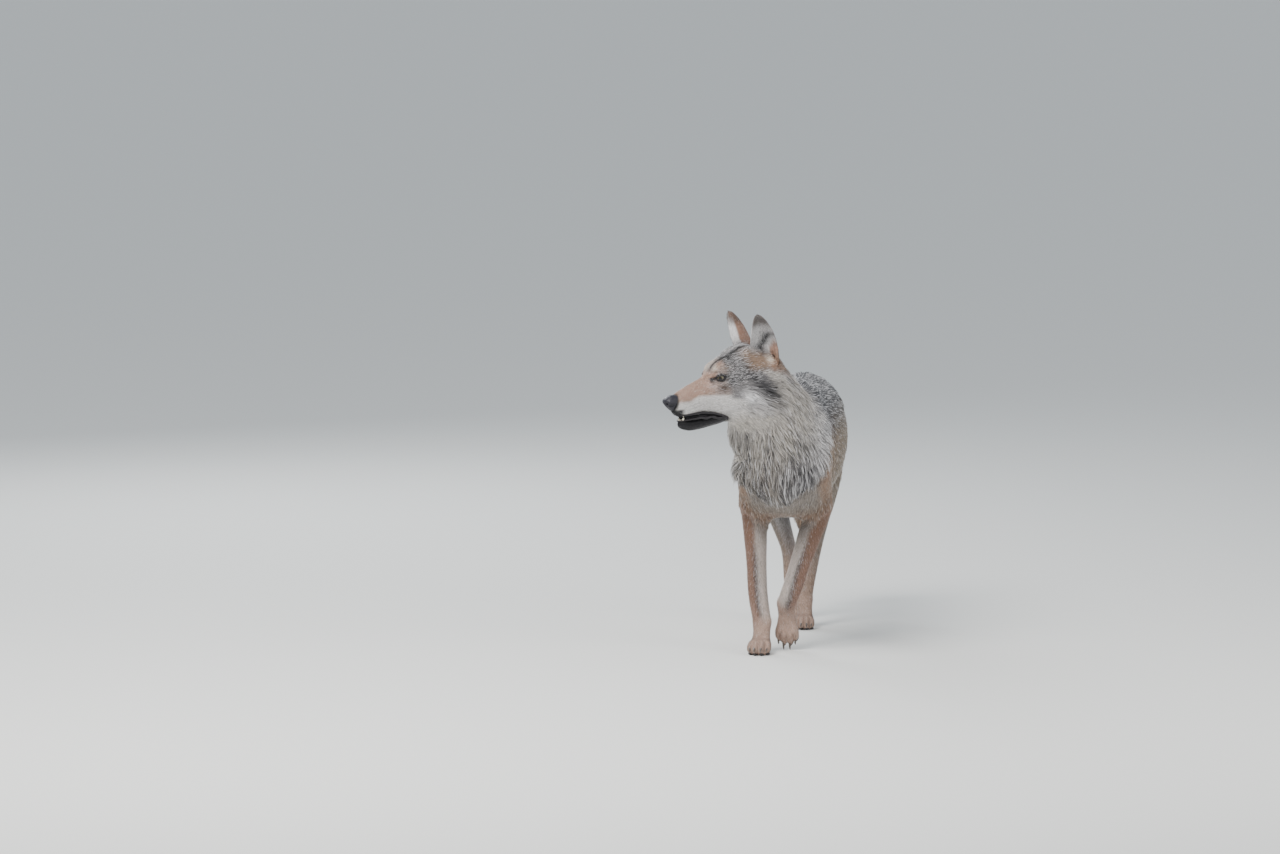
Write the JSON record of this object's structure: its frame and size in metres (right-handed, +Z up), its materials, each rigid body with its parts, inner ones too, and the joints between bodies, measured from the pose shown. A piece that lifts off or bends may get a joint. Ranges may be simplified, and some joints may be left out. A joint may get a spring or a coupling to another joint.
{
  "type": "wolf",
  "caption": "Life-size grey wolf in mid-walk, body facing forward, head turned to its right with the mouth slightly open, ears pricked, tail hanging, one forefoot just touching down.",
  "frame": {"origin": "on the ground, at the middle of the animal's bounding box", "axes": "+Z up; the body faces -Y and the wolf's left side is +X; the head is turned towards -X"},
  "size_m": [0.3856, 1.074, 0.8251],
  "materials": {
    "fur": "grizzled grey-brown coat",
    "pale_fur": "short pale coat",
    "rust_fur": "short rust-brown coat",
    "nose_skin": "moist black skin",
    "eye": "wet amber eye",
    "claw": "dark horn"
  },
  "bodies": {
    "root": {"trunk": "fur", "neck": "fur", "tail": "fur", "head": "fur", "nose": "nose_skin", "lower_jaw": "pale_fur", "eye_left": "eye", "ear_left": "rust_fur", "eye_right": "eye", "ear_right": "rust_fur", "foreleg_left": "rust_fur", "forepaw_left": "pale_fur", "claw_fore_left_1": "claw", "claw_fore_left_2": "claw", "claw_fore_left_3": "claw", "claw_fore_left_4": "claw", "foreleg_right": "rust_fur", "forepaw_right": "pale_fur", "claw_fore_right_1": "claw", "claw_fore_right_2": "claw", "claw_fore_right_3": "claw", "claw_fore_right_4": "claw", "hindleg_left": "rust_fur", "hindpaw_left": "pale_fur", "claw_hind_left_1": "claw", "claw_hind_left_2": "claw", "claw_hind_left_3": "claw", "claw_hind_left_4": "claw", "hindleg_right": "rust_fur", "hindpaw_right": "pale_fur", "claw_hind_right_1": "claw", "claw_hind_right_2": "claw", "claw_hind_right_3": "claw", "claw_hind_right_4": "claw"}
  },
  "joints": []
}
